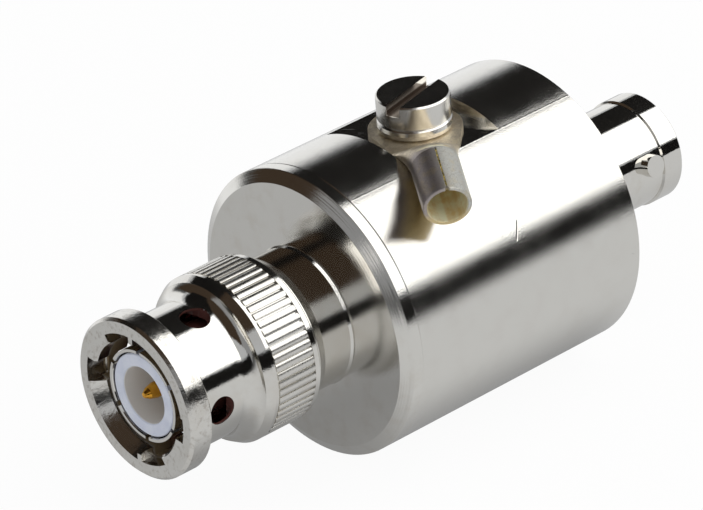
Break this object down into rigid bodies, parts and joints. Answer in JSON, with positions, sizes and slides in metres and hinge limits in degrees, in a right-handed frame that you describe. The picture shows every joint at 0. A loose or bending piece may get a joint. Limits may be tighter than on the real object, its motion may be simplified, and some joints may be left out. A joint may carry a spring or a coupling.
{
  "type": "coaxial video surge protector",
  "caption": "Round metal in-line surge protector with a bayonet plug at one end, a bayonet jack at the other and an earth lug under a slotted screw on a milled flat.",
  "frame": {"origin": "centre of the front rim of the plug's slotted outer contact, on the unit's axis", "axes": "+X along the unit's axis from the plug to the jack, +Z out through the earth screw, +Y completes a right-handed frame"},
  "size_m": [0.0578, 0.0256, 0.0279],
  "materials": {
    "nickel_plate": "bright nickel plate on turned brass",
    "tinned_copper": "dull tin plate on copper",
    "spring_metal": "bare spring steel",
    "gold_plate": "gold plate on brass",
    "brass": "turned brass",
    "ptfe": "white PTFE, machined",
    "silicone": "red silicone rubber",
    "board": "glass-fibre board with solder mask",
    "ceramic": "fired alumina ceramic",
    "lacquer": "lacquered ceramic body",
    "moulding": "moulded epoxy"
  },
  "bodies": {
    "unit": {"housing_tube": "nickel_plate", "front_cap": "nickel_plate", "rear_cap": "nickel_plate", "neck_sleeve": "nickel_plate", "plug_body": "nickel_plate", "outer_contact": "nickel_plate", "plug_insulator": "ptfe", "plug_pin": "gold_plate", "gasket": "silicone", "wave_spring": "spring_metal", "jack_body": "nickel_plate", "jack_insulator": "ptfe", "jack_contact": "gold_plate", "jack_lock_ring": "nickel_plate", "earth_screw": "nickel_plate", "lock_washer": "nickel_plate", "ring_lug": "tinned_copper", "earth_bush": "brass", "circuit_board": "board", "gas_tube_ceramic": "ceramic", "gas_tube_line_end": "tinned_copper", "gas_tube_earth_end": "tinned_copper", "resistor_body": "lacquer", "resistor_leads": "tinned_copper", "diode_body": "moulding", "diode_leads": "tinned_copper", "plug_lead": "tinned_copper", "jack_lead": "tinned_copper", "earth_lead": "tinned_copper"},
    "slider": {"thrust_washer": "spring_metal"},
    "nut": {"coupling_nut": "nickel_plate", "closing_ring": "nickel_plate"}
  },
  "joints": [
    {"name": "nut_pull", "type": "slide", "parent": "unit", "child": "slider", "axis": [-1, 0, 0], "range_m": [0, 0.0007], "stiffness_N_per_m": 8000, "deforming": ["wave_spring"]},
    {"name": "nut_turn", "type": "hinge", "parent": "slider", "child": "nut", "pos_m": [0.005, 0, 0], "axis": [1, 0, 0], "continuous": true}
  ]
}
